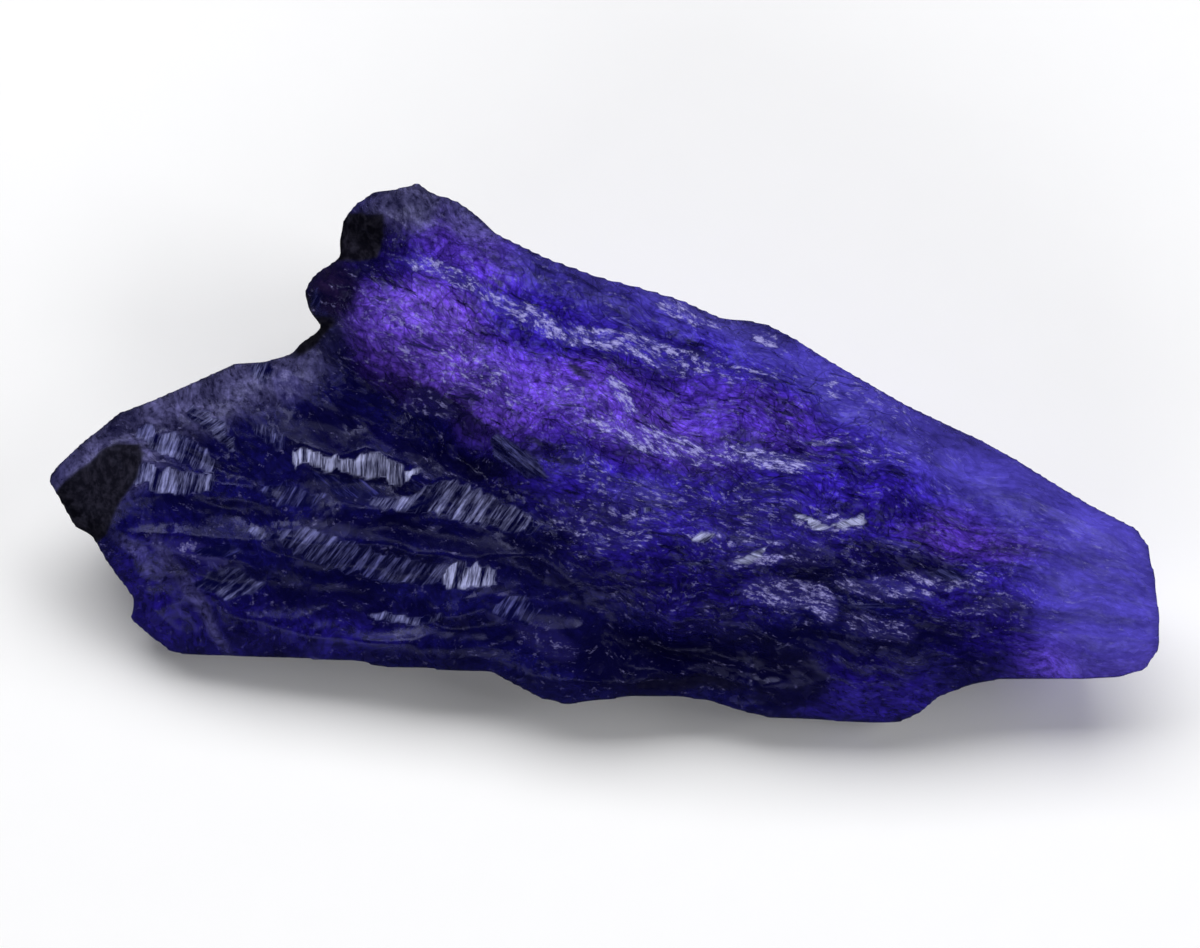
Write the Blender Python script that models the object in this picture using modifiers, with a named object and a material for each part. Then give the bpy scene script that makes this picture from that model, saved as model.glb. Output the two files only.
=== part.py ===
"""Rough tanzanite: one broken piece of blue-violet crystal that lies on its flat cleaved back.

Lengths are in millimetres until the finished mesh is scaled to metres. The broad face is drawn in a
plane of its own, as across (to the right), up (towards the far edge) and out (towards the viewer).
"""

import math

import bmesh
import bpy
import numpy as np

MM = 0.001

# The broad face leans back from level, and the middle of its drawing plane stands above the table
FACE_LEAN = math.radians(25)
FACE_HEIGHT = 8.6

# Outline of the broad face, clockwise from the left tip, as (across, up)
OUTLINE = (
    (-27.85, -0.3), (-27.4, 0.4), (-26.2, 1.5), (-24.3, 3.1), (-22.5, 3.8), (-19.8, 5.0),
    (-18.5, 5.6), (-16.9, 5.7), (-15.5, 6.1), (-15.2, 6.6), (-14.0, 7.4), (-14.6, 8.2),
    (-14.9, 9.2), (-14.4, 10.0), (-13.1, 10.9), (-13.2, 11.9), (-13.0, 12.9), (-12.3, 13.7),
    (-11.3, 14.3), (-10.2, 14.4), (-9.2, 14.7), (-8.5, 14.2), (-7.2, 13.8), (-6.0, 12.9),
    (-5.2, 12.1), (-2.7, 10.9), (0.0, 9.9), (2.0, 9.4), (4.0, 8.8), (6.0, 7.9),
    (8.3, 7.6), (9.8, 6.8), (11.5, 5.7), (15.3, 3.5), (19.2, 1.7), (21.0, 0.7),
    (24.5, -1.5), (26.8, -2.7), (27.4, -3.5), (27.7, -5.3), (27.9, -7.0), (27.9, -8.8),
    (27.3, -9.8), (26.0, -10.2), (24.2, -10.3), (20.0, -10.3), (18.5, -10.6), (17.0, -11.2),
    (16.0, -12.1), (15.2, -12.5), (14.0, -12.6), (8.6, -12.3), (7.0, -11.9), (5.5, -11.4),
    (4.0, -11.2), (1.5, -11.2), (-1.7, -11.6), (-3.0, -11.3), (-5.4, -10.0), (-9.0, -9.8),
    (-10.7, -9.8), (-12.4, -9.4), (-18.0, -9.3), (-21.7, -9.1), (-22.7, -8.3), (-23.8, -7.4),
    (-23.6, -6.3), (-24.9, -4.5), (-25.7, -3.1), (-26.5, -2.7), (-27.3, -1.2),
)

# The body behind the face: the middle line of the outline, and what share of the way to it the foot
# draws in. Ends draw in less than sides, because they lie further from the middle
MIDDLE_LINE = ((-28.0, -1.5), (-10.0, 1.6), (28.0, -7.0))
BODY_DEPTH = 16.0
FOOT_DRAWS_IN = 0.26
ENDS_DRAW_IN = 0.36
BELOW_TABLE = 1.2

# The crystal's columns, each from left to right. Each point of a ridge is (across, up, out, half width).
# Ridges bend over a short way, and columns blend where they meet
COLUMN_FALL = 1.5
COLUMN_BEND = 1.6
COLUMN_BLEND = 0.16
LOWEST = -2.2
COLUMNS = {
    "top": ((-10.4, 12.9, 0.3, 2.5), (-6.5, 10.6, 0.7, 2.9), (-2.0, 8.2, 0.9, 2.9),
            (4.0, 6.0, 1.5, 3.0), (10.0, 3.0, 2.0, 3.6), (16.0, -0.2, 2.2, 4.2), (24.0, -4.4, 1.3, 4.6)),
    "violet": ((-13.0, 8.9, 1.1, 2.2), (-10.0, 7.5, 2.4, 2.5), (-6.5, 5.6, 3.0, 2.9),
               (-3.0, 3.6, 3.2, 3.3), (2.0, 1.2, 3.1, 3.8), (8.0, -1.4, 2.9, 4.6), (18.0, -4.6, 2.0, 5.0)),
    "right": ((-2.0, -3.2, 1.2, 3.6), (3.0, -3.9, 2.6, 4.2), (9.0, -4.4, 2.9, 4.8),
              (15.0, -5.0, 2.6, 5.0), (22.0, -6.3, 1.9, 5.0), (27.5, -7.0, 1.2, 5.0)),
    "left": ((-27.0, -0.3, -1.0, 5.0), (-22.0, -1.3, 0.0, 7.0), (-15.0, -2.3, 0.3, 8.0),
             (-8.0, -4.3, 0.6, 7.0), (2.0, -8.0, 0.6, 5.0)),
    "keel": ((-2.5, -10.6, -1.0, 3.0), (5.0, -10.6, -0.8, 3.0), (11.0, -11.0, -0.3, 3.0),
             (15.0, -11.4, -0.6, 3.0)),
}

# How the face rounds off at its rim: (across, up, radius) of places along it
RIM_ROUNDING = (
    (-27.0, 0.0, 1.6), (-20.0, 4.5, 2.2), (-14.3, 7.5, 1.4), (-14.5, 9.5, 1.6), (-10.0, 14.3, 2.0),
    (-3.0, 10.8, 1.6), (8.0, 7.5, 1.8), (19.0, 1.6, 2.2), (27.0, -3.0, 1.4), (27.8, -8.0, 0.9),
    (20.0, -10.3, 1.8), (14.0, -12.4, 2.2), (4.0, -11.2, 1.4), (-8.0, -9.8, 1.4), (-20.0, -9.2, 1.8),
    (-24.5, -5.0, 1.8),
)

# Shell-shaped hollows: (across, up, half length, half width, turned by degrees, depth)
HOLLOWS = (
    (-14.6, 2.9, 4.6, 1.5, -28, 0.55),
    (-20.4, 2.1, 3.4, 0.75, -32, 0.50),
    (-20.6, 0.5, 3.4, 0.6, -14, 0.40),
    (-17.2, 3.6, 3.0, 0.9, -46, 0.35),
    (-11.2, -0.9, 2.6, 1.0, -8, 0.75),
    (-10.2, 2.6, 3.6, 1.3, -18, 0.60),
    (-6.8, 1.5, 3.2, 1.2, -24, 0.60),
    (-20.0, -2.2, 5.4, 1.0, -2, 0.45),
    (-7.0, -3.2, 4.8, 1.1, -6, 0.55),
    (-13.0, -6.3, 5.8, 2.0, -6, 0.70),
    (-3.6, -6.0, 3.0, 1.6, -30, 0.60),
    (-21.2, -6.4, 3.4, 1.4, -52, 0.45),
    (4.6, -9.2, 5.0, 1.2, -10, 0.85),
    (5.6, -11.0, 3.4, 0.7, -8, 0.60),
    (-12.0, 8.0, 1.4, 0.8, -50, 0.55),
    (-11.9, 12.0, 1.25, 1.2, 0, 0.70),
    (-14.2, 6.9, 1.3, 0.7, 35, 0.60),
    (10.0, -5.6, 4.4, 1.5, -4, 0.35),
    (3.6, -1.6, 3.8, 1.2, -20, 0.35),
    (-1.0, 6.0, 5.0, 1.1, -24, 0.40),
)

# Cleavage steps that face the near side: top edge as (across, up) points, width of the riser, drop, and
# how far above and below it the face makes up for the drop
STEPS = (
    (((-15.4, 1.6), (-14.0, 1.0), (-11.8, 1.0), (-10.0, 0.4), (-8.6, 0.1)), 1.0, 0.95, 1.6),
    (((-11.8, -1.5), (-10.0, -0.9), (-8.0, 0.0), (-6.4, -0.3), (-4.8, -1.3), (-3.2, -2.6)), 1.5, 0.85, 1.4),
    (((-18.2, -2.5), (-15.0, -3.1), (-12.0, -3.7), (-8.5, -4.4), (-5.2, -4.7)), 0.9, 0.85, 1.3),
    (((-22.8, 2.7), (-21.0, 2.3), (-19.2, 1.2), (-17.6, -0.2)), 0.8, 0.50, 1.0),
    (((-23.3, 0.5), (-21.0, 0.3), (-18.6, -0.5), (-16.6, -1.1)), 1.2, 0.55, 1.0),
    (((-22.0, -3.9), (-20.0, -4.2), (-18.0, -4.3), (-16.6, -4.9)), 1.0, 0.50, 1.0),
    (((-5.8, 2.0), (-4.4, 1.2), (-3.0, 0.0), (-1.6, -1.4)), 1.0, 0.45, 1.0),
    (((-9.0, -6.9), (-6.5, -7.0), (-4.2, -6.4)), 0.7, 0.45, 1.0),
    (((-0.8, -7.6), (2.5, -7.1), (6.0, -7.6), (9.6, -8.7), (13.0, -10.4)), 1.0, 0.90, 1.6),
    (((7.2, -4.6), (9.0, -4.8), (10.8, -5.1), (12.4, -6.0)), 1.3, 0.55, 1.2),
    (((9.3, -2.3), (11.0, -2.2), (12.8, -2.5)), 0.8, 0.40, 0.9),
    (((5.8, -3.6), (7.6, -3.8), (9.6, -3.4)), 0.7, 0.35, 0.9),
    (((-9.8, 10.6), (-6.6, 9.0), (-3.0, 7.0), (1.0, 5.6), (5.0, 4.7), (10.0, 2.6)), 0.9, 0.45, 1.2),
    (((-0.6, 2.3), (3.0, 1.1), (7.0, 0.2), (10.4, -0.9)), 1.0, 0.45, 1.2),
    (((14.6, -4.0), (16.6, -4.2), (18.2, -4.6)), 0.9, 0.35, 1.0),
)

# The grain runs along the columns: its lines keep their share of the way from a lower to an upper line,
# each given as (up at the middle, rise across)
GRAIN_LOWER = (-10.3, -0.05)
GRAIN_UPPER = (10.0, -0.47)
GRAIN_SPAN = 20.0

# Broken surface: how far edges wander, then low lumps, then shell-shaped flakes, each with a seed.
# Side flakes go in by a share of the distance to the middle line
WANDER = ((3.6, 0.42, 11), (1.3, 0.16, 12))
LUMPS = (10.0, 3.6, 0.50, 13)
FLAKES = ((4.6, 1.7, 0.36, 21), (2.0, 0.75, 0.17, 22))
SIDE_FLAKES = ((8.0, 0.17, 33), (3.6, 0.07, 34), (1.8, 0.025, 35))
RIM_KEPT = 4.5

# Mesh: the size of the even net that is shaped, how many triangles are kept, and how near the table
# a point counts as on it
NET = 0.33
KEPT_TRIANGLES = 8800
FLAT_WITHIN = 0.03

TANZANITE_COLOUR = (0.045, 0.020, 0.300, 1.0)
TANZANITE_ROUGHNESS = 0.22


def hashed(cell, seed):
    """A number from 0 to 1 for each whole-numbered cell, the same in every run."""
    value = np.full(cell.shape[1:], seed * 2654435761, dtype=np.uint64)
    for part in cell:
        value = (value ^ part.astype(np.int64).astype(np.uint64)) * np.uint64(0x9E3779B97F4A7C15)
        value ^= value >> np.uint64(29)
    value *= np.uint64(0xBF58476D1CE4E5B9)
    value ^= value >> np.uint64(32)
    return (value & np.uint64(0xFFFFFF)) / float(0xFFFFFF)


def noise(place, size, seed):
    """Soft lumps from -1 to 1 that are about size across, for points given as rows of coordinates."""
    scaled = np.asarray(place) / size
    cell = np.floor(scaled)
    part = smooth(scaled - cell)
    total = np.zeros(scaled.shape[1])
    for corner in np.ndindex(*(2,) * len(scaled)):
        shift = np.array(corner)[:, None]
        weight = np.prod(np.where(shift == 1, part, 1.0 - part), axis=0)
        total += weight * hashed(cell + shift, seed)
    return 2.0 * total - 1.0


def flakes(place, sizes, seed):
    """Shell-shaped flake scars that meet in crisp ridges: how deep each point lies, about 0 to 1."""
    scaled = np.asarray(place) / np.asarray(sizes, float)[:, None]
    cell = np.floor(scaled)
    depth = np.full(scaled.shape[1], 9.0)
    for corner in np.ndindex(*(3,) * len(scaled)):
        home = cell + np.array(corner)[:, None] - 1
        offset = np.array([scaled[k] - home[k] - hashed(home, seed + k) for k in range(len(scaled))])
        tilt = sum(offset[k] * (hashed(home, seed + 40 + k) - 0.5) for k in range(len(scaled)))
        floor = 0.5 * hashed(home, seed + 80)
        depth = np.minimum(depth, (offset**2).sum(axis=0) + 0.9 * tilt + floor)
    return depth


def smooth(x):
    x = np.clip(x, 0.0, 1.0)
    return x * x * (3.0 - 2.0 * x)


def beside(path, u, v):
    """Where each point lies beside a line of points: share of the way along it, and distance to its left."""
    path = np.asarray(path, float)
    steps = np.diff(path[:, :2], axis=0)
    lengths = np.hypot(*steps.T)
    begun = np.concatenate([[0.0], np.cumsum(lengths)])
    nearest = np.full(u.shape, 1e9)
    share = np.zeros_like(u)
    left = np.zeros_like(u)
    for start, step, length, before in zip(path, steps, lengths, begun):
        du, dv = u - start[0], v - start[1]
        t = np.clip((du * step[0] + dv * step[1]) / length**2, 0.0, 1.0)
        distance = np.hypot(du - t * step[0], dv - t * step[1])
        closer = distance < nearest
        side = np.where(step[0] * dv - step[1] * du >= 0, 1.0, -1.0)
        nearest = np.where(closer, distance, nearest)
        share = np.where(closer, (before + t * length) / begun[-1], share)
        left = np.where(closer, side * distance, left)
    return share, left


def column(ridge, u, v):
    """How far out a rounded column stands: it follows its ridge and rounds off past the left end."""
    across, up, out, half_width = np.asarray(ridge, float).T

    def bent(values, shift=0.0):
        near = [np.interp(u + shift + k * COLUMN_BEND, across, values) for k in (-1.0, -0.35, 0.35, 1.0)]
        return sum(near) / len(near)

    slope = (bent(up, 1.0) - bent(up, -1.0)) / 2
    over = (v - bent(up)) / np.sqrt(1.0 + slope**2) / bent(half_width)
    past = np.maximum(across[0] - u, 0.0) / half_width[0]
    return bent(out) - COLUMN_FALL * (over**2 + past**2)


def hollow(u, v):
    """The deepest shell-shaped hollow at each point, as a depth below 0, with crisp rims."""
    deepest = np.zeros_like(u)
    for across, up, half_length, half_width, turn, depth in HOLLOWS:
        c, s = math.cos(math.radians(turn)), math.sin(math.radians(turn))
        along = ((u - across) * c + (v - up) * s) / half_length
        over = ((v - up) * c - (u - across) * s) / half_width
        deepest = np.minimum(deepest, -depth * (1.0 - along**2 - over**2))
    return deepest


def step(path, width, drop, reach, u, v):
    """One cleavage step: the face rises slowly to the top edge, drops across the riser, and recovers."""
    share, left = beside(path, u, v)
    uphill = 0.5 * drop * (1.0 - smooth(left / reach))
    riser = 0.5 * drop - drop * np.clip(-left / width, 0.0, 1.0)
    foot = -0.5 * drop * (1.0 - smooth((-left - width) / reach))
    profile = np.where(left > 0, uphill, np.where(-left < width, riser, foot))
    return profile * smooth(share / 0.3) * smooth((1.0 - share) / 0.3)


def rim_drop(u, v):
    """How far the face rounds down towards its rim."""
    weights = [1.0 / (0.5 + (u - a) ** 2 + (v - b) ** 2) ** 2 for a, b, _ in RIM_ROUNDING]
    radius = sum(w * r for w, (_, _, r) in zip(weights, RIM_ROUNDING)) / sum(weights)
    inwards = np.abs(beside(OUTLINE + OUTLINE[:1], u, v)[1])
    part = np.clip(1.0 - inwards / radius, 0.0, 1.0)
    return radius * (1.0 - np.sqrt(1.0 - part**2))


def grain(u, v):
    """Coordinates along and over the grain."""
    lower = GRAIN_LOWER[0] + GRAIN_LOWER[1] * u
    upper = GRAIN_UPPER[0] + GRAIN_UPPER[1] * u
    return u, (v - lower) / (upper - lower) * GRAIN_SPAN


def relief(u, v):
    """How far out of the drawing plane the broad face stands."""
    rim = rim_drop(u, v)
    for size, reach, seed in WANDER:
        shift_u, shift_v = noise((u, v), size, seed), noise((u, v), size, seed + 50)
        u, v = u + reach * shift_u, v + reach * shift_v
    heights = [column(ridge, u, v) for ridge in COLUMNS.values()] + [np.full_like(u, LOWEST)]
    out = COLUMN_BLEND * np.log(sum(np.exp(height / COLUMN_BLEND) for height in heights))
    length, width, height, seed = LUMPS
    along, over = grain(u, v)
    out += height * noise((along / length, over / width), 1.0, seed)
    for path, width, drop, reach in STEPS:
        out += step(path, width, drop, reach, u, v)
    for length, width, depth, seed in FLAKES:
        out += depth * (flakes((along, over), (length, width), seed) - 0.5)
    return out + hollow(u, v) - rim


def stood_up(u, v, out):
    """From the drawing plane to the table's frame: x, y, z with the table at z 0."""
    c, s = math.cos(FACE_LEAN), math.sin(FACE_LEAN)
    return np.column_stack([u, v * c - out * s, v * s + out * c + FACE_HEIGHT])


def body(slab):
    """Shapes the points of a slab, cut to the outline and 0 to BODY_DEPTH thick, into the stone."""
    u, v, height = slab.T
    share = np.clip(height / BODY_DEPTH, 0.0, 1.0)
    face = relief(u, v)
    scar = sum(depth * flakes((u, v, height), (size, size, size), seed) for size, depth, seed in SIDE_FLAKES)
    draw_in = FOOT_DRAWS_IN * (1.0 - share) ** 1.6 + scar * smooth((BODY_DEPTH - height) / RIM_KEPT)
    middle = np.interp(u, *zip(*MIDDLE_LINE))
    v = v + (middle - v) * draw_in
    u = u * (1.0 - ENDS_DRAW_IN * draw_in)
    table = -(v * math.sin(FACE_LEAN) + FACE_HEIGHT + BELOW_TABLE) / math.cos(FACE_LEAN)
    return stood_up(u, v, table + (face - table) * share)


def slab_of_outline():
    """The outline as a flat curve with a thickness, remade as a mesh with an even net."""
    curve = bpy.data.curves.new("slab", "CURVE")
    curve.dimensions = "2D"
    curve.fill_mode = "BOTH"
    curve.extrude = BODY_DEPTH / 2
    spline = curve.splines.new("POLY")
    spline.points.add(len(OUTLINE) - 1)
    for point, (across, up) in zip(spline.points, OUTLINE):
        point.co = (across, up, 0.0, 1.0)
    spline.use_cyclic_u = True
    guide = bpy.data.objects.new("slab", curve)
    bpy.context.scene.collection.objects.link(guide)
    graph = bpy.context.evaluated_depsgraph_get()
    mesh = bpy.data.meshes.new_from_object(guide.evaluated_get(graph))
    bpy.data.objects.remove(guide)

    bm = bmesh.new()
    bm.from_mesh(mesh)
    bmesh.ops.remove_doubles(bm, verts=bm.verts, dist=0.001)
    bmesh.ops.translate(bm, verts=bm.verts, vec=(0.0, 0.0, BODY_DEPTH / 2))
    bm.to_mesh(mesh)
    bm.free()
    return mesh


def evaluated_mesh(obj):
    bpy.context.view_layer.update()
    graph = bpy.context.evaluated_depsgraph_get()
    return bpy.data.meshes.new_from_object(obj.evaluated_get(graph))


def cut_at_table(mesh):
    """Cuts the foot off flat at the table and closes it."""
    bm = bmesh.new()
    bm.from_mesh(mesh)
    cut = bmesh.ops.bisect_plane(
        bm, geom=bm.verts[:] + bm.edges[:] + bm.faces[:], plane_co=(0, 0, 0), plane_no=(0, 0, 1),
        clear_inner=True, dist=0.0001,
    )
    rim = [part for part in cut["geom_cut"] if isinstance(part, bmesh.types.BMEdge)]
    bmesh.ops.triangle_fill(bm, edges=rim, use_beauty=True, normal=(0, 0, -1))
    bmesh.ops.recalc_face_normals(bm, faces=bm.faces[:])
    bm.to_mesh(mesh)
    bm.free()


def settle(mesh):
    """Lays the foot exactly on the table, the middle of the plan on the origin, and scales to metres."""
    corners = np.empty(len(mesh.vertices) * 3)
    mesh.vertices.foreach_get("co", corners)
    corners = corners.reshape(-1, 3)
    corners[:, :2] -= (corners[:, :2].min(axis=0) + corners[:, :2].max(axis=0)) / 2
    corners[np.abs(corners[:, 2]) < FLAT_WITHIN, 2] = 0.0
    mesh.vertices.foreach_set("co", (corners * MM).ravel())
    mesh.update()


def make_tanzanite(collection):
    stone = bpy.data.objects.new("tanzanite_crystal", slab_of_outline())
    collection.objects.link(stone)
    net = stone.modifiers.new("even_net", "REMESH")
    net.mode = "VOXEL"
    net.voxel_size = NET
    mesh = evaluated_mesh(stone)
    stone.modifiers.clear()

    slab = np.empty(len(mesh.vertices) * 3)
    mesh.vertices.foreach_get("co", slab)
    mesh.vertices.foreach_set("co", body(slab.reshape(-1, 3)).ravel())
    mesh.update()
    cut_at_table(mesh)
    stone.data = mesh

    fewer = stone.modifiers.new("fewer_triangles", "DECIMATE")
    mesh.calc_loop_triangles()
    fewer.ratio = KEPT_TRIANGLES / len(mesh.loop_triangles)
    stone.data = evaluated_mesh(stone)
    stone.modifiers.clear()
    settle(stone.data)
    return stone


def crystal_material():
    material = bpy.data.materials.new("tanzanite")
    material.use_nodes = True
    shader = material.node_tree.nodes["Principled BSDF"]
    shader.inputs["Base Color"].default_value = TANZANITE_COLOUR
    shader.inputs["Roughness"].default_value = TANZANITE_ROUGHNESS
    shader.inputs["Metallic"].default_value = 0.0
    material.diffuse_color = TANZANITE_COLOUR
    return material


for leftover in list(bpy.data.objects):
    bpy.data.objects.remove(leftover)
specimen = bpy.data.collections.new("rough_tanzanite")
bpy.context.scene.collection.children.link(specimen)
tanzanite = make_tanzanite(specimen)
tanzanite.data.materials.clear()
tanzanite.data.materials.append(crystal_material())
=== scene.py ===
"""Looks of the rough tanzanite: one broken blue-violet crystal on a pale floor in soft studio light.

Lengths are in millimetres until a finished mesh is scaled to metres. The stone's broad face is drawn in a
plane of its own, as across (to the right), up (towards the far edge) and out (towards the camera).
"""

import math

import bmesh
import bpy
import numpy as np
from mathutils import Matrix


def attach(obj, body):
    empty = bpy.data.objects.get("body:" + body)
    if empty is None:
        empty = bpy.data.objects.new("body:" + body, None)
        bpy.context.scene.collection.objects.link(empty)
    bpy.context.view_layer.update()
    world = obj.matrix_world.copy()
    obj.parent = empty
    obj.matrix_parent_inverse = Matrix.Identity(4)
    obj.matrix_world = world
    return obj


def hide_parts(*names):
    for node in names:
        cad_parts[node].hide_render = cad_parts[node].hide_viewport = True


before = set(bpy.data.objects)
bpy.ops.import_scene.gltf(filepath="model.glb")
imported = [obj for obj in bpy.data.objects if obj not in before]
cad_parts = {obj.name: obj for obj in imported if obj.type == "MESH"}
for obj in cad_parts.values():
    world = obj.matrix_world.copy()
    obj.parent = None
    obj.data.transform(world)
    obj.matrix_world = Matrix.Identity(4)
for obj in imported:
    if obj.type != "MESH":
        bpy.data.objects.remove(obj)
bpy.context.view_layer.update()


# The crystal. One solid of tanzanite, broken from a larger crystal: columns of growth run from upper left to
# right, the lower left is cleaved in steps with finely lined risers, and the back is one flat cleavage plane.
# It is made from the outline as a slab with an even net, whose points are moved out to the broken surface.
MM = 0.001

# The broad face leans back from level, and the middle of its drawing plane stands above the table
FACE_LEAN = math.radians(25)
FACE_HEIGHT = 8.6

# Outline of the broad face, clockwise from the left tip, as (across, up)
OUTLINE = (
    (-27.85, -0.3), (-27.4, 0.4), (-26.2, 1.5), (-24.3, 3.1), (-22.5, 3.8), (-19.8, 5.0),
    (-18.5, 5.6), (-16.9, 5.7), (-15.5, 6.1), (-15.2, 6.6), (-14.0, 7.4), (-14.6, 8.2),
    (-14.9, 9.2), (-14.4, 10.0), (-13.1, 10.9), (-13.2, 11.9), (-13.0, 12.9), (-12.3, 13.7),
    (-11.3, 14.3), (-10.2, 14.4), (-9.2, 14.7), (-8.5, 14.2), (-7.2, 13.8), (-6.0, 12.9),
    (-5.2, 12.1), (-2.7, 10.9), (0.0, 9.9), (2.0, 9.4), (4.0, 8.8), (6.0, 7.9),
    (8.3, 7.6), (9.8, 6.8), (11.5, 5.7), (15.3, 3.5), (19.2, 1.7), (21.0, 0.7),
    (24.5, -1.5), (26.8, -2.7), (27.4, -3.5), (27.7, -5.3), (27.9, -7.0), (27.9, -8.8),
    (27.3, -9.8), (26.0, -10.2), (24.2, -10.3), (20.0, -10.3), (18.5, -10.6), (17.0, -11.2),
    (16.0, -12.1), (15.2, -12.5), (14.0, -12.6), (8.6, -12.3), (7.0, -11.9), (5.5, -11.4),
    (4.0, -11.2), (1.5, -11.2), (-1.7, -11.6), (-3.0, -11.3), (-5.4, -10.0), (-9.0, -9.8),
    (-10.7, -9.8), (-12.4, -9.4), (-18.0, -9.3), (-21.7, -9.1), (-22.7, -8.3), (-23.8, -7.4),
    (-23.6, -6.3), (-24.9, -4.5), (-25.7, -3.1), (-26.5, -2.7), (-27.3, -1.2),
)

# The body behind the face: the middle line of the outline, how deep the body is before the table cuts it, and
# what share of the way to the middle line its foot and the foot's ends draw in
MIDDLE_LINE = ((-28.0, -1.5), (-10.0, 1.6), (28.0, -7.0))
BODY_DEPTH = 16.0
FOOT_DRAWS_IN = 0.26
FOOT_CURVE = 1.6
ENDS_DRAW_IN = 0.36
BELOW_TABLE = 1.2

# Columns, each from left to right. Each point of a ridge is (across, up, out, half width). A column falls away
# beside its ridge, bends softly, and blends into its neighbours
COLUMN_FALL = 1.5
COLUMN_BEND = 1.6
COLUMN_BLEND = 0.16
LOWEST = -2.2
COLUMNS = {
    "top": ((-10.4, 12.9, 0.3, 2.5), (-6.5, 10.6, 0.7, 2.9), (-2.0, 8.2, 0.9, 2.9),
            (4.0, 6.0, 1.5, 3.0), (10.0, 3.0, 2.0, 3.6), (16.0, -0.2, 2.2, 4.2), (24.0, -4.4, 1.3, 4.6)),
    "violet": ((-13.0, 8.9, 1.1, 2.2), (-10.0, 7.5, 2.4, 2.5), (-6.5, 5.6, 3.0, 2.9),
               (-3.0, 3.6, 3.2, 3.3), (2.0, 1.2, 3.1, 3.8), (8.0, -1.4, 2.9, 4.6), (18.0, -4.6, 2.0, 5.0)),
    "right": ((-2.0, -3.2, 1.2, 3.6), (3.0, -3.9, 2.6, 4.2), (9.0, -4.4, 2.9, 4.8),
              (15.0, -5.0, 2.6, 5.0), (22.0, -6.3, 1.9, 5.0), (27.5, -7.0, 1.2, 5.0)),
    "left": ((-27.0, -0.3, -1.0, 5.0), (-22.0, -1.3, 0.0, 7.0), (-15.0, -2.3, 0.3, 8.0),
             (-8.0, -4.3, 0.6, 7.0), (2.0, -8.0, 0.6, 5.0)),
    "keel": ((-2.5, -10.6, -1.0, 3.0), (5.0, -10.6, -0.8, 3.0), (11.0, -11.0, -0.3, 3.0),
             (15.0, -11.4, -0.6, 3.0)),
}

# How the face rounds off at its rim: (across, up, radius) of places along it, and how soon, in square
# millimetres, a place's own radius gives way to its neighbours'
RIM_ROUNDING = (
    (-27.0, 0.0, 1.6), (-20.0, 4.5, 2.2), (-14.3, 7.5, 1.4), (-14.5, 9.5, 1.6), (-10.0, 14.3, 2.0),
    (-3.0, 10.8, 1.6), (8.0, 7.5, 1.8), (19.0, 1.6, 2.2), (27.0, -3.0, 1.4), (27.8, -8.0, 0.9),
    (20.0, -10.3, 1.8), (14.0, -12.4, 2.2), (4.0, -11.2, 1.4), (-8.0, -9.8, 1.4), (-20.0, -9.2, 1.8),
    (-24.5, -5.0, 1.8),
)
RIM_BLEND = 0.5

# Shell-shaped hollows: (across, up, half length, half width, turned by degrees, depth)
HOLLOWS = (
    (-14.6, 2.9, 4.6, 1.5, -28, 0.55),
    (-20.4, 2.1, 3.4, 0.75, -32, 0.50),
    (-20.6, 0.5, 3.4, 0.6, -14, 0.40),
    (-17.2, 3.6, 3.0, 0.9, -46, 0.35),
    (-11.2, -0.9, 2.6, 1.0, -8, 0.75),
    (-10.2, 2.6, 3.6, 1.3, -18, 0.60),
    (-6.8, 1.5, 3.2, 1.2, -24, 0.60),
    (-20.0, -2.2, 5.4, 1.0, -2, 0.45),
    (-7.0, -3.2, 4.8, 1.1, -6, 0.55),
    (-13.0, -6.3, 5.8, 2.0, -6, 0.70),
    (-3.6, -6.0, 3.0, 1.6, -30, 0.60),
    (-21.2, -6.4, 3.4, 1.4, -52, 0.45),
    (4.6, -9.2, 5.0, 1.2, -10, 0.85),
    (5.6, -11.0, 3.4, 0.7, -8, 0.60),
    (-12.0, 8.0, 1.4, 0.8, -50, 0.55),
    (-11.9, 12.0, 1.25, 1.2, 0, 0.70),
    (-14.2, 6.9, 1.3, 0.7, 35, 0.60),
    (10.0, -5.6, 4.4, 1.5, -4, 0.35),
    (3.6, -1.6, 3.8, 1.2, -20, 0.35),
    (-1.0, 6.0, 5.0, 1.1, -24, 0.40),
    (-1.2, 4.6, 0.9, 0.4, -32, 0.30),
)

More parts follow.
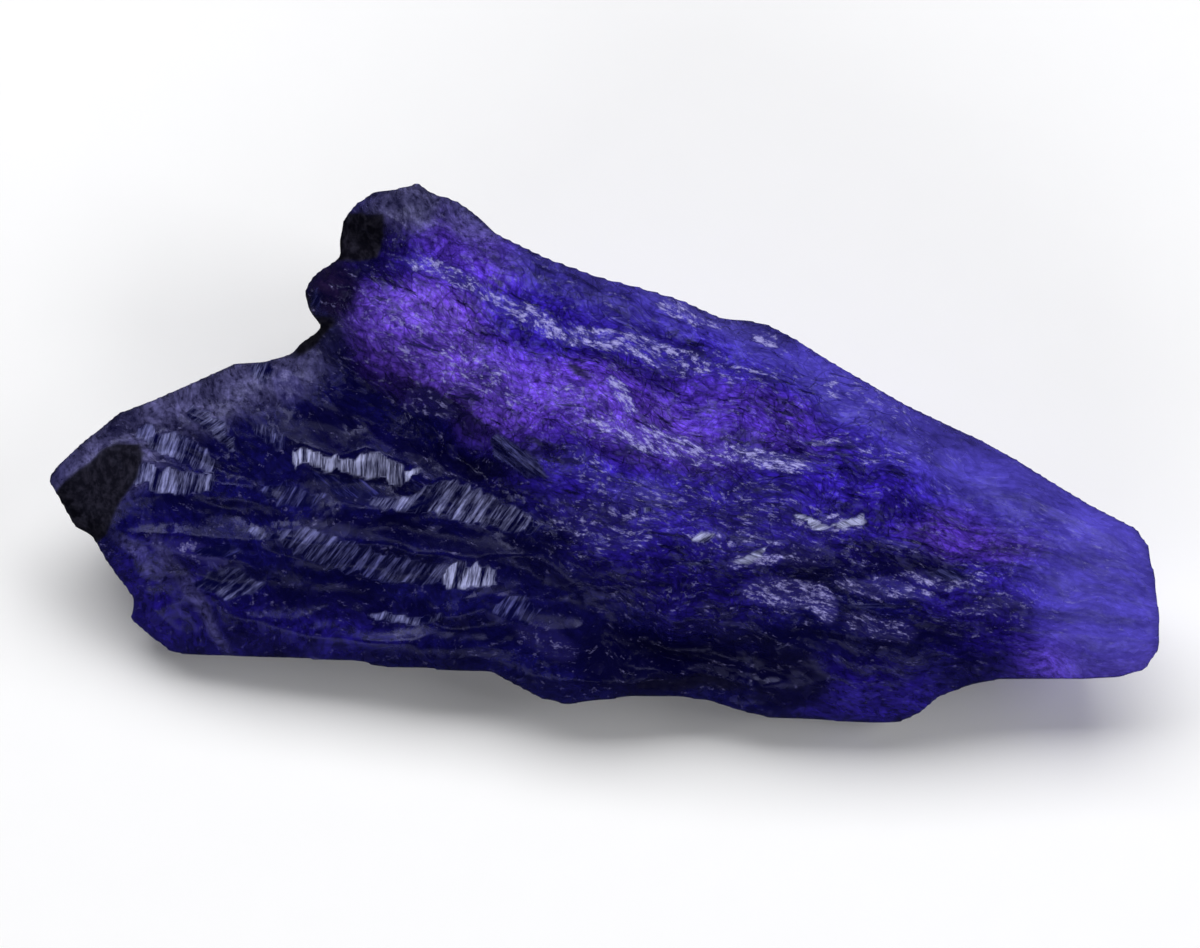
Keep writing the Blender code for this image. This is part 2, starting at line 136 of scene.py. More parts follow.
# Cleavage steps that face the near side: top edge as (across, up) points, width of the riser, drop, and how
# far above and below it the face makes up for the drop. Each fades out over a share of its length at both ends
STEPS = (
    (((-15.4, 1.6), (-14.0, 1.0), (-11.8, 1.0), (-10.0, 0.4), (-8.6, 0.1)), 1.0, 0.95, 1.6),
    (((-11.8, -1.5), (-10.0, -0.9), (-8.0, 0.0), (-6.4, -0.3), (-4.8, -1.3), (-3.2, -2.6)), 1.5, 0.85, 1.4),
    (((-18.2, -2.5), (-15.0, -3.1), (-12.0, -3.7), (-8.5, -4.4), (-5.2, -4.7)), 0.9, 0.85, 1.3),
    (((-22.8, 2.7), (-21.0, 2.3), (-19.2, 1.2), (-17.6, -0.2)), 0.8, 0.50, 1.0),
    (((-23.3, 0.5), (-21.0, 0.3), (-18.6, -0.5), (-16.6, -1.1)), 1.2, 0.55, 1.0),
    (((-22.0, -3.9), (-20.0, -4.2), (-18.0, -4.3), (-16.6, -4.9)), 1.0, 0.50, 1.0),
    (((-5.8, 2.0), (-4.4, 1.2), (-3.0, 0.0), (-1.6, -1.4)), 1.0, 0.45, 1.0),
    (((-9.0, -6.9), (-6.5, -7.0), (-4.2, -6.4)), 0.7, 0.45, 1.0),
    (((-0.8, -7.6), (2.5, -7.1), (6.0, -7.6), (9.6, -8.7), (13.0, -10.4)), 1.0, 0.90, 1.6),
    (((7.2, -4.6), (9.0, -4.8), (10.8, -5.1), (12.4, -6.0)), 1.3, 0.55, 1.2),
    (((9.3, -2.3), (11.0, -2.2), (12.8, -2.5)), 0.8, 0.40, 0.9),
    (((5.8, -3.6), (7.6, -3.8), (9.6, -3.4)), 0.7, 0.35, 0.9),
    (((-9.8, 10.6), (-6.6, 9.0), (-3.0, 7.0), (1.0, 5.6), (5.0, 4.7), (10.0, 2.6)), 0.9, 0.45, 1.2),
    (((-0.6, 2.3), (3.0, 1.1), (7.0, 0.2), (10.4, -0.9)), 1.0, 0.45, 1.2),
    (((14.6, -4.0), (16.6, -4.2), (18.2, -4.6)), 0.9, 0.35, 1.0),
)
STEP_FADE = 0.3

# The grain keeps its share of the way from a lower to an upper line, each (up at the middle, rise across)
GRAIN_LOWER = (-10.3, -0.05)
GRAIN_UPPER = (10.0, -0.47)
GRAIN_SPAN = 20.0

# Broken surface: how edges wander as (size of the bends, how far, seed), low lumps, then shell-shaped flakes as
# (length, width, depth, seed) and how much less deep each size is where the face isn't crushed, and flakes of
# the sides as (size, share of the way to the middle line, seed). The rim is spared, and NET is the net's size
WANDER = ((3.6, 0.42, 11), (1.3, 0.16, 12))
LUMPS = (10.0, 3.6, 0.50, 13)
FLAKES = ((4.6, 1.7, 0.36, 21), (2.0, 0.75, 0.15, 22), (0.95, 0.42, 0.06, 23))
FLAKES_CALMED = (0.0, 0.6, 0.8)
SIDE_FLAKES = ((8.0, 0.17, 33), (3.6, 0.07, 34), (1.8, 0.025, 35), (0.9, 0.012, 36))
RIM_KEPT = 4.5
NET = 0.24
SLAB = 8.0

# Finely lined faces: outline as (across, up) points, lean of the lines in degrees, and how bright a painted
# highlight they carry
PATCHES = (
    (((-15.4, 1.3), (-13.7, 1.1), (-12.7, 0.8), (-11.6, 1.1), (-10.4, 0.8), (-9.9, 0.4), (-9.9, -0.4), (-11.2,
      -0.3), (-12.5, 0.1), (-13.7, 0.3), (-15.3, 0.5)), 3, 1.15),
    (((-9.7, 0.3), (-8.7, 0.2), (-9.8, -0.3)), 3, 1.15),
    (((-17.4, 2.7), (-16.8, 2.5), (-15.8, 2.0), (-15.8, 1.1), (-16.6, 1.5), (-17.3, 2.3)), 5, 0.55),
    (((-14.4, 0.2), (-12.7, -0.1), (-10.4, -0.6), (-11.5, -1.3), (-13.0, -1.2), (-14.1, -0.5)), -50, 0.25),
    (((-11.7, -1.3), (-10.2, -1.3), (-9.3, -1.0), (-8.7, -0.5), (-7.6, -0.3), (-6.4, -0.5), (-5.6, -1.1), (-4.6,
      -1.4), (-3.8, -2.0), (-2.9, -2.6), (-3.3, -2.9), (-4.6, -2.9), (-5.9, -2.6), (-7.1, -2.4), (-8.1, -2.0),
      (-9.4, -2.0), (-10.7, -1.9), (-11.6, -1.6)), 35, 0.68),
    (((-18.2, -2.6), (-17.1, -2.8), (-16.0, -2.9), (-14.8, -2.7), (-13.7, -2.9), (-12.7, -3.4), (-11.5, -3.7),
      (-10.2, -4.1), (-8.9, -4.5), (-7.6, -4.6), (-7.8, -5.5), (-9.2, -5.4), (-10.7, -5.4), (-11.7, -5.1), (-12.7,
      -4.9), (-13.7, -4.8), (-14.8, -4.2), (-15.8, -3.6), (-17.1, -3.2), (-17.9, -2.9)), 38, 0.52),
    (((-7.8, -4.5), (-6.1, -4.6), (-5.2, -4.8), (-5.1, -5.4), (-5.9, -5.6), (-7.6, -5.7), (-8.0, -5.4)), 12,
      0.85),
    (((-23.0, 2.5), (-21.4, 2.2), (-19.9, 1.4), (-19.0, 0.5), (-19.3, 0.1), (-20.9, 0.6), (-22.7, 1.4), (-23.2,
      2.0)), 20, 0.65),
    (((-20.5, 3.4), (-19.2, 2.8), (-18.1, 1.2), (-18.5, 1.1), (-19.6, 2.1), (-20.7, 2.9)), 55, 0.65),
    (((-23.3, 0.5), (-22.1, 0.5), (-20.6, 0.1), (-19.2, -0.1), (-19.5, -0.8), (-20.9, -1.1), (-22.4, -0.8),
      (-23.3, -0.4)), 14, 0.65),
    (((-20.4, -5.4), (-19.5, -4.9), (-18.2, -4.7), (-16.8, -5.4), (-17.1, -5.8), (-18.6, -6.3), (-19.6, -6.0)),
      50, 0.55),
    (((-5.5, 1.7), (-5.0, 2.0), (-4.1, 1.4), (-3.1, 0.6), (-2.8, -0.3), (-3.6, -0.3), (-4.6, 0.4), (-5.3, 0.9)),
      -50, 0.45),
    (((-11.7, -7.0), (-10.2, -7.1), (-7.9, -7.0), (-8.0, -7.3), (-9.7, -7.5), (-11.2, -7.4)), 20, 0.6),
    (((-5.6, -6.5), (-3.8, -6.2), (-2.9, -6.8), (-3.6, -7.4), (-5.1, -7.3)), 30, 0.4),
    (((-17.1, -0.8), (-15.8, -0.4), (-13.7, -1.1), (-14.3, -1.6), (-16.0, -1.6), (-16.8, -1.3)), 30, 0.4),
    (((-20.4, -3.8), (-19.1, -3.5), (-17.8, -3.7), (-18.3, -4.1), (-19.9, -4.2)), 60, 0.3),
    (((-17.6, 5.6), (-16.5, 5.7), (-16.4, 5.2), (-16.8, 4.6), (-17.4, 4.8)), 15, 0.6),
    (((-14.2, 9.3), (-13.9, 8.0), (-13.2, 7.2), (-13.6, 7.3), (-14.6, 8.6)), 30, 0.4),
    (((9.8, -2.0), (10.5, -2.1), (11.2, -2.4), (11.6, -2.6), (10.9, -2.75), (10.2, -2.45)), 70, 1.35),
    (((11.7, -2.6), (12.4, -2.1), (13.1, -2.1), (12.9, -2.5), (12.2, -2.8)), -60, 1.35),
    (((4.7, -3.3), (5.1, -2.9), (5.8, -3.0), (5.3, -3.45)), 60, 1.2),
    (((6.3, -4.4), (7.2, -4.1), (8.4, -3.75), (8.3, -3.95), (7.2, -4.45)), -70, 1.1),
    (((4.2, -4.4), (5.4, -4.2), (5.6, -4.4), (4.6, -4.55)), -70, 0.6),
    (((10.0, 1.6), (12.6, 1.4), (12.7, 1.28), (10.2, 1.44)), 90, 0.6),
    (((10.8, 1.12), (12.8, 0.95), (12.6, 0.86), (11.0, 1.0)), 90, 0.5),
    (((12.3, -6.4), (13.8, -6.5), (15.2, -6.6), (13.8, -6.66), (12.4, -6.58)), 90, 0.5),
    (((16.0, -4.9), (17.4, -4.7), (18.6, -5.2), (17.2, -5.3)), -60, 0.45),
    (((2.2, -1.7), (2.5, -1.6), (2.6, -1.9), (2.3, -2.0)), 0, 0.7),
)

# Films of graphite with crisp edges, as outlines of (across, up) points, and how wide the edges are
FILMS = (
    ((-13.4, 12.6), (-12.2, 12.9), (-11.0, 12.8), (-10.9, 11.9), (-10.95, 10.9), (-12.1, 10.75), (-13.5, 10.7)),
    ((-27.6, -0.8), (-26.5, 0.6), (-25.2, 1.4), (-24.2, 1.7), (-23.3, 1.5), (-23.1, 0.9), (-23.3, -0.1),
     (-24.2, -1.15), (-25.2, -2.7), (-26.1, -3.2), (-27.0, -2.6), (-27.6, -1.6)),
)
FILM_EDGE = 0.2

# Painted highlights on glassy flakes that catch the light: (across, up, half length, half width, turned by
# degrees, brightness)
PAINTED_GLINTS = (
    (-3.5, 7.9, 2.9, 0.55, -27, 0.75), (-7.4, 9.7, 2.4, 0.5, -27, 0.6), (2.0, 6.2, 4.0, 0.7, -16, 0.65),
    (6.4, 5.2, 2.4, 0.7, -14, 0.4), (0.9, 3.8, 0.9, 0.45, -40, 0.8), (4.4, 8.0, 1.6, 0.5, -20, 0.6),
    (8.2, 7.1, 0.6, 0.4, -20, 0.8), (11.6, 4.1, 0.5, 0.7, 20, 0.5), (3.0, 1.8, 4.4, 0.8, -10, 0.6),
    (8.6, 0.6, 1.9, 0.6, -22, 0.7), (11.4, -2.4, 1.6, 0.38, -10, 0.6), (5.4, -3.3, 0.9, 0.28, 12, 0.8),
    (7.6, -4.2, 1.2, 0.32, 14, 0.8), (9.4, -6.1, 2.2, 1.0, -10, 0.6), (11.0, -6.5, 1.2, 0.7, -64, 0.8),
    (17.2, -5.2, 2.2, 0.4, -6, 0.6), (13.8, -7.5, 1.8, 0.6, -10, 0.3),
    (-9.0, 3.4, 1.6, 0.7, -20, 0.3), (-15.4, 4.2, 0.9, 0.9, 0, 0.3), (0.2, -2.6, 2.6, 1.2, -24, 0.3),
    (11.4, 1.5, 1.5, 0.2, -4, 0.6), (-0.6, 0.4, 1.2, 0.8, -30, 0.4), (-20.2, -4.0, 1.4, 0.4, -8, 0.4),
    (1.8, -0.9, 2.6, 0.9, -16, 0.35), (-2.6, -8.4, 1.6, 0.9, -20, 0.2), (-6.0, 5.0, 2.6, 1.0, -30, 0.35),
    (14.0, 3.2, 2.0, 0.7, -28, 0.35), (15.0, 0.4, 2.6, 0.5, -10, 0.35), (-7.5, 5.8, 4.6, 1.8, -30, 0.3),
    (6.0, -2.0, 6.0, 2.2, -10, 0.25), (-0.6, 2.8, 2.6, 0.9, -30, 0.3), (22.0, -5.0, 4.0, 3.0, 0, 0.15),
    (14.4, -5.7, 2.6, 0.5, -6, 0.5), (19.6, -6.6, 1.8, 0.4, -6, 0.4),
)

# The grain's pattern is drawn out along it, and more so towards the right: (across, place in the pattern). So it
# is over the grain, where places keep a share of their way from its middle, as (across, share), and in depth
DRAWN_ALONG = ((-30.0, -25.4), (-2.0, -1.6), (8.0, 5.8), (30.0, 21.5))
DRAWN_OVER = ((-30.0, 1.0), (0.0, 1.0), (30.0, 0.6))
GRAIN_MIDDLE = 8.0
DRAWN_DOWN = 0.7

# Zones of soft ovals: (across, up, half length, half width, turned by degrees, amount). "crushed" is where the
# surface is a mosaic of small facets, and the others are colours. The pale grey-lilac zone is a painted sheen, and
# the darkest zone is dark glassy stone with painted shade under ledges and in hollows. Most fade over the whole of
# their half width, and those in ZONE_EDGES over a share of it
ZONES = {
    "royal": ((0.0, 6.6, 12.0, 4.2, -24, 1.0), (12.0, 1.6, 10.0, 4.2, -28, 1.0), (2.0, 0.6, 8.0, 3.6, -20, 0.75),
              (10.0, -1.4, 12.0, 2.4, -12, 0.5), (23.0, -6.0, 6.0, 4.6, -8, 0.8), (-22.5, -6.6, 3.6, 3.4, 0, 0.2),
              (-16.0, -7.8, 6.0, 1.8, 0, 0.12), (13.5, -11.0, 3.6, 1.8, 0, 0.35), (4.0, -5.0, 5.0, 2.2, -14, 0.3)),
    "violet": ((-8.6, 6.8, 3.2, 2.6, -28, 1.0), (-5.4, 4.4, 4.0, 2.2, -32, 0.7), (0.6, 3.2, 6.0, 1.8, -16, 0.7),
               (-6.8, 11.4, 3.0, 1.6, -30, 0.45), (18.4, -3.3, 3.4, 1.0, -8, 0.45), (24.6, -9.0, 3.4, 1.6, 0, 0.6),
               (17.6, -2.4, 1.6, 0.8, 0, 0.3), (7.0, 3.0, 4.6, 1.4, -20, 0.4)),
    "milk": ((26.0, -4.8, 4.6, 6.0, 0, 1.0), (19.0, 0.4, 7.0, 2.4, -29, 0.85), (12.6, 3.8, 5.0, 1.6, -29, 0.8),
             (2.0, 8.6, 6.0, 1.3, -18, 0.5), (8.6, 6.4, 4.0, 1.2, -32, 0.7), (24.4, -8.6, 3.4, 2.0, 0, 0.4),
             (2.4, -1.0, 1.5, 1.1, -10, 0.5)),
    # Painted sheen: pale grey-lilac where faces along the upper rim, on the left flank and on a few ribs catch the
    # light
    "pale_sheen": ((-20.0, 4.2, 7.0, 1.7, 24, 0.9), (-24.6, 1.2, 3.6, 2.2, 40, 1.0), (-7.0, 13.2, 2.4, 1.1, -35, 0.7),
              (-9.9, 13.3, 2.1, 1.4, 0, 1.0), (5.6, 8.2, 4.6, 0.8, -18, 0.5), (-16.0, 4.7, 2.6, 1.4, 20, 0.85),
              (-1.8, 10.3, 3.4, 0.7, -22, 0.4), (-20.5, -6.0, 3.4, 0.4, -56, 0.5),
              (-23.0, -4.2, 2.4, 0.35, -40, 0.35)),
    "plum": ((-12.9, 9.0, 1.5, 1.7, 0, 1.0), (-10.4, 11.6, 1.0, 1.2, 0, 0.5)),
    # Dark glassy stone, and painted shade under the ledges and in the hollows
    "dark_and_shade": ((3.0, -9.6, 4.4, 1.5, -4, 0.95), (9.4, -10.3, 2.4, 1.4, -20, 0.95), (-12.4, -0.5, 3.4, 0.8, -6, 0.85),
             (-12.8, 2.3, 1.9, 0.9, -20, 0.8), (-7.4, 0.7, 3.8, 0.6, -12, 0.85), (-9.4, -3.2, 5.4, 0.6, -13, 0.8),
             (-12.6, -6.6, 4.6, 0.9, -4, 0.6), (-8.2, 3.4, 3.6, 0.45, -28, 0.8), (-1.6, -7.6, 3.4, 2.2, -30, 0.6),
             (12.4, -9.0, 5.0, 1.0, -6, 0.5), (-19.4, -1.6, 4.0, 0.5, -4, 0.6), (2.0, -6.0, 4.6, 1.0, -14, 0.35),
             (13.0, -4.2, 5.0, 0.9, -4, 0.7), (8.6, -4.9, 3.4, 0.4, -8, 0.45), (7.6, 1.4, 2.4, 0.5, -20, 0.5),
             (19.0, -7.8, 2.6, 2.0, 0, 0.6), (-4.4, -4.6, 3.0, 1.4, -30, 0.5)),
    "graphite": ((-14.2, 6.7, 1.4, 0.7, 25, 1.0), (4.2, -10.7, 2.6, 0.35, -4, 0.3),
                 (-1.2, 4.6, 0.8, 0.3, -32, 0.8)),
    "crushed": ((-4.0, 5.0, 12.0, 6.0, -28, 1.0), (5.0, 1.0, 12.0, 8.0, -18, 1.0), (10.0, -4.0, 12.0, 5.0, -6, 0.9),
                (-11.0, 3.2, 4.0, 1.6, -20, 0.6), (-16.0, 0.0, 14.0, 8.0, 0, 0.3), (24.0, -5.0, 6.0, 6.0, 0, 0.22),
                (2.0, -9.5, 8.0, 2.0, 0, 0.5), (-20.5, 1.5, 4.0, 2.0, -20, 0.4)),
}
ZONE_EDGES = {"graphite": 0.35, "dark_and_shade": 0.55}

# How zones wander, as (size of the bends, how far): on the face, and more and more down the sides
ZONE_WANDER = (1.7, 0.5)
SIDE_WANDER = (4.0, 4.5)

# Patterns of the face end below it. Lines and glints are gone at FACE_ENDS, and fade over FACE_FADES above that.
# Films and milk fade over shares of the body's depth: films are gone at FILMS_END, and milk loses MILK_LOST
FACE_ENDS = 2.5
FACE_FADES = 2.0
FILMS_END = 0.35
FILMS_FADE = 0.15
MILK_LOST = 0.55
MILK_FADES = 0.4

# The lined faces' edges are a little blurred, and bent as (size, how far, seed). Along the lines they fray by up
# to FRAYED, or less on a narrow face, in tufts that are drawn out along the lines
PATCH_EDGE = 0.14
PATCH_BENDS = ((0.35, 0.07, 71), (1.1, 0.1, 73))
FRAYED = 0.24
TUFT = 0.3
TUFT_DRAWN = 0.15


def smooth(x):
    """Eases from 0 to 1 while x goes from 0 to 1."""
    x = np.clip(x, 0.0, 1.0)
    return x * x * (3.0 - 2.0 * x)


def hashed(cell, seed):
    """A number from 0 to 1 for each whole-numbered cell, the same in every run."""
    value = np.full(cell.shape[1:], seed * 2654435761, dtype=np.uint64)
    for part in cell:
        value = (value ^ part.astype(np.int64).astype(np.uint64)) * np.uint64(0x9E3779B97F4A7C15)
        value ^= value >> np.uint64(29)
    value *= np.uint64(0xBF58476D1CE4E5B9)
    value ^= value >> np.uint64(32)
    return (value & np.uint64(0xFFFFFF)) / float(0xFFFFFF)


def noise(place, size, seed):
    """Soft lumps from -1 to 1 that are about size across, for points given as rows of coordinates."""
    scaled = np.asarray(place) / size
    cell = np.floor(scaled)
    part = smooth(scaled - cell)
    total = np.zeros(scaled.shape[1])
    for corner in np.ndindex(*(2,) * len(scaled)):
        shift = np.array(corner)[:, None]
        weight = np.prod(np.where(shift == 1, part, 1.0 - part), axis=0)
        total += weight * hashed(cell + shift, seed)
    return 2.0 * total - 1.0


def flakes(place, sizes, seed):
    """Shell-shaped flake scars that meet in crisp ridges: how deep each point lies, about 0 to 1."""
    scaled = np.asarray(place) / np.asarray(sizes, float)[:, None]
    cell = np.floor(scaled)
    depth = np.full(scaled.shape[1], 9.0)
    for corner in np.ndindex(*(3,) * len(scaled)):
        home = cell + np.array(corner)[:, None] - 1
        offset = np.array([scaled[k] - home[k] - hashed(home, seed + k) for k in range(len(scaled))])
        tilt = sum(offset[k] * (hashed(home, seed + 40 + k) - 0.5) for k in range(len(scaled)))
        floor = 0.5 * hashed(home, seed + 80)
        depth = np.minimum(depth, (offset**2).sum(axis=0) + 0.9 * tilt + floor)
    return depth


def beside(path, u, v):
    """Where each point lies beside a line of points: distance along it, share of it, and distance to its left."""
    path = np.asarray(path, float)
    steps = np.diff(path[:, :2], axis=0)
    lengths = np.hypot(*steps.T)
    begun = np.concatenate([[0.0], np.cumsum(lengths)])
    nearest = np.full(u.shape, 1e9)
    along = np.zeros_like(u)
    left = np.zeros_like(u)
    for start, step, length, before in zip(path, steps, lengths, begun):
        du, dv = u - start[0], v - start[1]
        t = np.clip((du * step[0] + dv * step[1]) / length**2, 0.0, 1.0)
        distance = np.hypot(du - t * step[0], dv - t * step[1])
        closer = distance < nearest
        side = np.where(step[0] * dv - step[1] * du >= 0, 1.0, -1.0)
        nearest = np.where(closer, distance, nearest)
        along = np.where(closer, before + t * length, along)
        left = np.where(closer, side * distance, left)
    return along, along / begun[-1], left


def inside(outline, u, v):
    """Whether each point lies within a closed line of points."""
    within = np.zeros(u.shape, dtype=bool)
    for (u0, v0), (u1, v1) in zip(outline, outline[1:] + outline[:1]):
        if v0 != v1:
            within ^= ((v0 > v) != (v1 > v)) & (u < u0 + (v - v0) / (v1 - v0) * (u1 - u0))
    return within


def edged(outline, blur, u, v):
    """1 inside a closed line of points and 0 outside it, with a soft edge."""
    distance = np.abs(beside(outline + outline[:1], u, v)[2])
    return smooth(0.5 + np.where(inside(outline, u, v), distance, -distance) / blur)


def column(ridge, u, v):
    """How far out a rounded column stands: it follows its ridge and rounds off past the left end."""
    across, up, out, half_width = np.asarray(ridge, float).T

    def bent(values, shift=0.0):
        near = [np.interp(u + shift + k * COLUMN_BEND, across, values) for k in (-1.0, -0.35, 0.35, 1.0)]
        return sum(near) / len(near)

    slope = (bent(up, 1.0) - bent(up, -1.0)) / 2
    over = (v - bent(up)) / np.sqrt(1.0 + slope**2) / bent(half_width)
    past = np.maximum(across[0] - u, 0.0) / half_width[0]
    return bent(out) - COLUMN_FALL * (over**2 + past**2)


def oval(across, up, half_length, half_width, turn, u, v):
    """Squared radius in a turned oval: 0 at its middle and 1 on its rim."""
    c, s = math.cos(math.radians(turn)), math.sin(math.radians(turn))
    along = ((u - across) * c + (v - up) * s) / half_length
    over = ((v - up) * c - (u - across) * s) / half_width
    return along**2 + over**2


def zone(name, u, v):
    """How much each point lies in a zone, from 0 to 1."""
    edge = ZONE_EDGES.get(name, 1.0)
    ovals = [a * smooth((1.0 - np.sqrt(oval(*shape, u, v))) / edge + 0.5) for *shape, a in ZONES[name]]
    return np.maximum.reduce(ovals)


def step(path, width, drop, reach, u, v):
    """One cleavage step: the face rises slowly to the top edge, drops across the riser, and recovers."""
    _, share, left = beside(path, u, v)
    uphill = 0.5 * drop * (1.0 - smooth(left / reach))
    riser = 0.5 * drop - drop * np.clip(-left / width, 0.0, 1.0)
    foot = -0.5 * drop * (1.0 - smooth((-left - width) / reach))
    profile = np.where(left > 0, uphill, np.where(-left < width, riser, foot))
    return profile * smooth(share / STEP_FADE) * smooth((1.0 - share) / STEP_FADE)


def rim_drop(u, v):
    """How far the face rounds down towards its rim."""
    weights = [1.0 / (RIM_BLEND + (u - a) ** 2 + (v - b) ** 2) ** 2 for a, b, _ in RIM_ROUNDING]
    radius = sum(w * r for w, (_, _, r) in zip(weights, RIM_ROUNDING)) / sum(weights)
    inwards = np.abs(beside(OUTLINE + OUTLINE[:1], u, v)[2])
    part = np.clip(1.0 - inwards / radius, 0.0, 1.0)
    return radius * (1.0 - np.sqrt(1.0 - part**2))


def grain(u, v):
    """Coordinates along and over the grain."""
    lower = GRAIN_LOWER[0] + GRAIN_LOWER[1] * u
    upper = GRAIN_UPPER[0] + GRAIN_UPPER[1] * u
    return u, (v - lower) / (upper - lower) * GRAIN_SPAN


def wandered(u, v):
    """Shifts points a little to and fro, so that every drawn edge runs unevenly."""
    for size, reach, seed in WANDER:
        shift_u, shift_v = noise((u, v), size, seed), noise((u, v), size, seed + 50)
        u, v = u + reach * shift_u, v + reach * shift_v
    return u, v


def relief(u, v):
    """How far out of the drawing plane the broad face stands."""
    rim = rim_drop(u, v)
    u, v = wandered(u, v)
    heights = [column(ridge, u, v) for ridge in COLUMNS.values()] + [np.full_like(u, LOWEST)]
    out = COLUMN_BLEND * np.log(sum(np.exp(height / COLUMN_BLEND) for height in heights))
    length, width, height, seed = LUMPS
    along, over = grain(u, v)
    out += height * noise((along / length, over / width), 1.0, seed)
    for path, width, drop, reach in STEPS:
        out += step(path, width, drop, reach, u, v)
    broken = zone("crushed", u, v)
    for (length, width, depth, seed), calm in zip(FLAKES, FLAKES_CALMED):
        out += depth * (1.0 - calm * (1.0 - broken)) * (flakes((along, over), (length, width), seed) - 0.5)
    hollow = [-depth * (1.0 - oval(*shape, u, v)) for *shape, depth in HOLLOWS]
    return out + np.minimum(np.minimum.reduce(hollow), 0.0) - rim


def stood_up(u, v, out):
    """From the drawing plane to the table's frame: x, y, z with the table at z 0."""
    c, s = math.cos(FACE_LEAN), math.sin(FACE_LEAN)
    return np.column_stack([u, v * c - out * s, v * s + out * c + FACE_HEIGHT])


def body(u, v, height):
    """Shapes the points of a slab, cut to the outline and 0 to BODY_DEPTH thick, into the stone."""
    share = np.clip(height / BODY_DEPTH, 0.0, 1.0)
    face = relief(u, v)
    scar = sum(depth * flakes((u, v, height), (size, size, size), seed) for size, depth, seed in SIDE_FLAKES)
    draw_in = FOOT_DRAWS_IN * (1.0 - share) ** FOOT_CURVE + scar * smooth((BODY_DEPTH - height) / RIM_KEPT)
    middle = np.interp(u, *zip(*MIDDLE_LINE))
    v = v + (middle - v) * draw_in
    u = u * (1.0 - ENDS_DRAW_IN * draw_in)
    table = -(v * math.sin(FACE_LEAN) + FACE_HEIGHT + BELOW_TABLE) / math.cos(FACE_LEAN)
    return stood_up(u, v, table + (face - table) * share)


curve = bpy.data.curves.new("slab", "CURVE")
curve.dimensions = "2D"
curve.fill_mode = "BOTH"
curve.extrude = SLAB / 2
spline = curve.splines.new("POLY")
spline.points.add(len(OUTLINE) - 1)
for point, (across, up) in zip(spline.points, OUTLINE):
    point.co = (across, up, 0.0, 1.0)
spline.use_cyclic_u = True
guide = bpy.data.objects.new("slab", curve)
bpy.context.scene.collection.objects.link(guide)
slab = bpy.data.meshes.new_from_object(guide.evaluated_get(bpy.context.evaluated_depsgraph_get()))
bpy.data.objects.remove(guide)

bm = bmesh.new()
bm.from_mesh(slab)
bmesh.ops.remove_doubles(bm, verts=bm.verts, dist=0.001)
bmesh.ops.translate(bm, verts=bm.verts, vec=(0.0, 0.0, SLAB / 2))
bm.to_mesh(slab)
bm.free()

crystal = bpy.data.objects.new("crystal", slab)
bpy.context.scene.collection.objects.link(crystal)
net = crystal.modifiers.new("even_net", "REMESH")
net.mode = "VOXEL"
net.voxel_size = NET
bpy.context.view_layer.update()
mesh = bpy.data.meshes.new_from_object(crystal.evaluated_get(bpy.context.evaluated_depsgraph_get()))
crystal.modifiers.clear()

# The net is twice as fine on the broad face, where the breaks are seen from near
bm = bmesh.new()
bm.from_mesh(mesh)
face_edges = [edge for edge in bm.edges if min(vert.co.z for vert in edge.verts) > SLAB - 0.6 * NET]
bmesh.ops.subdivide_edges(bm, edges=face_edges, cuts=1, use_grid_fill=True)
bm.to_mesh(mesh)
bm.free()

points = np.empty(len(mesh.vertices) * 3)
mesh.vertices.foreach_get("co", points)
u, v, height = points.reshape(-1, 3).T
height = height * BODY_DEPTH / SLAB
mesh.vertices.foreach_set("co", body(u, v, height).ravel())


def keep(name, values):
    """Stores one number, or a row of three, for each of the mesh's points."""
    kind, key = ("FLOAT", "value") if values.ndim == 1 else ("FLOAT_VECTOR", "vector")
    attribute = mesh.attributes.new(name, kind, "POINT")
    attribute.data.foreach_set(key, values.astype(np.float32).ravel())


# Where the surface's patterns go: along and over the grain, and how deep in the slab
wu, wv = wandered(u, v)
along, over = grain(wu, wv)
over = GRAIN_MIDDLE + (over - GRAIN_MIDDLE) * np.interp(along, *zip(*DRAWN_OVER))
keep("grain", np.column_stack([np.interp(along, *zip(*DRAWN_ALONG)), over, DRAWN_DOWN * height]))
on_face = smooth((height - BODY_DEPTH + FACE_ENDS) / FACE_FADES)

# Zones and films wander the more, the deeper below the face they are, so that none runs straight down a side
below = 1.0 - height / BODY_DEPTH
zone_places = []
for place, seed in ((wu, 61), (wv, 62)):
    place = place + ZONE_WANDER[1] * noise((u, v, height), ZONE_WANDER[0], seed)
    zone_places.append(place + SIDE_WANDER[1] * below * noise((u, v, height), SIDE_WANDER[0], seed + 2))
zone_u, zone_v = zone_places
amounts = {name: zone(name, zone_u, zone_v) for name in ZONES}
amounts["milk"] *= 1.0 - MILK_LOST * smooth(below / MILK_FADES)
films = np.maximum.reduce([edged(film, FILM_EDGE, wu, wv) for film in FILMS])
amounts["graphite"] = np.maximum(amounts["graphite"], films * smooth((FILMS_END - below) / FILMS_FADE))
for name, amount in amounts.items():
    keep(name, amount)

# A painted glint is full over most of its oval, and gone a little past the rim
painted_glint = [a * smooth(2.0 - 1.6 * oval(*shape, zone_u, zone_v)) for *shape, a in PAINTED_GLINTS]
keep("painted_glint", np.maximum.reduce(painted_glint) * on_face)

